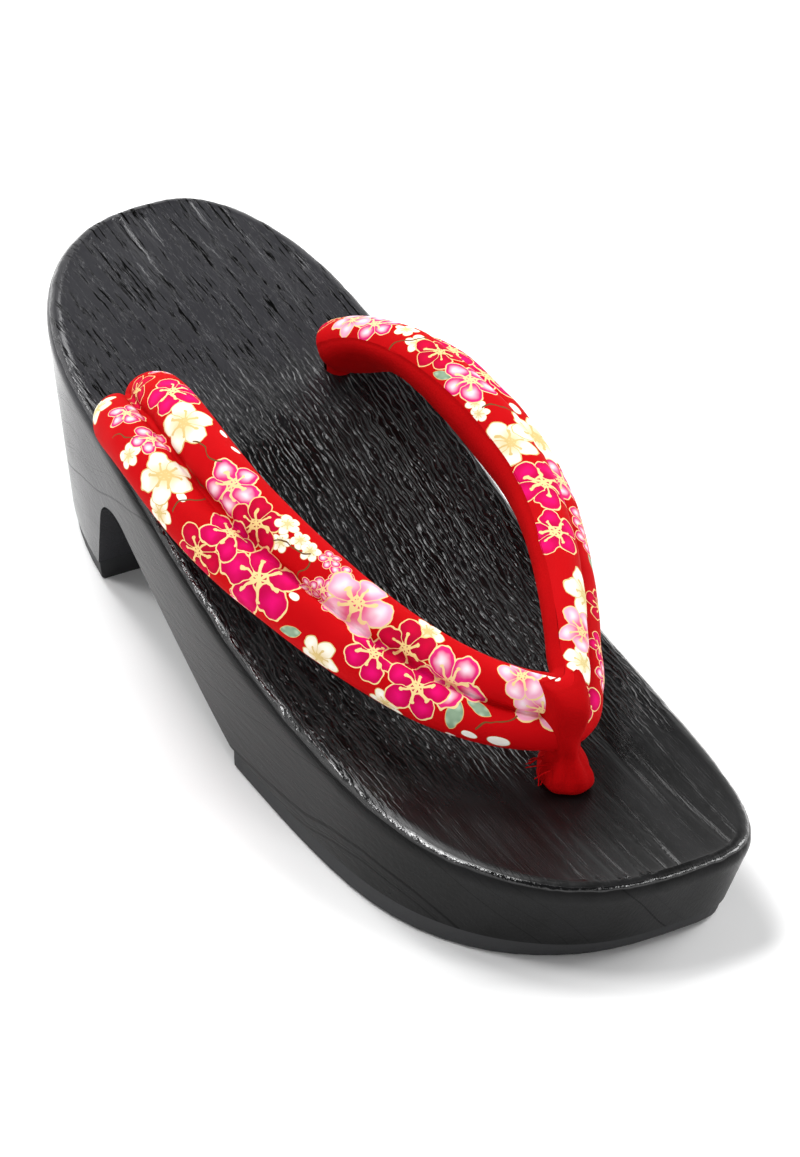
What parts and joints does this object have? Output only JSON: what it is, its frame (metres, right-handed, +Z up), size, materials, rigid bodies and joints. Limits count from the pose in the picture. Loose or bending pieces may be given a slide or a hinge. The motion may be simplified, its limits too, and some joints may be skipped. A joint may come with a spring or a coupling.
{
  "type": "geta sandal",
  "caption": "Wooden thong sandal with a raised block heel, an arch under the waist, rubber soles, a padded two-roll floral strap with velvet lining and a velvet toe loop",
  "frame": {"origin": "on the floor, in the middle of the forefoot's tread under the ball of the foot", "axes": "+Z up, toe towards -Y and heel towards +Y, the big toe's side is +X"},
  "size_m": [0.0909, 0.2407, 0.0736],
  "materials": {
    "block_wood": "black lacquer over brushed, raised grain, satin",
    "sole_rubber": "matte",
    "print_cotton": "printed cotton, padded",
    "velvet": "short-pile velvet"
  },
  "bodies": {
    "root": {"deck_block": "block_wood", "forefoot_sole": "sole_rubber", "heel_sole": "sole_rubber", "strap_face": "print_cotton", "strap_lining": "velvet", "toe_loop": "velvet"}
  },
  "joints": []
}
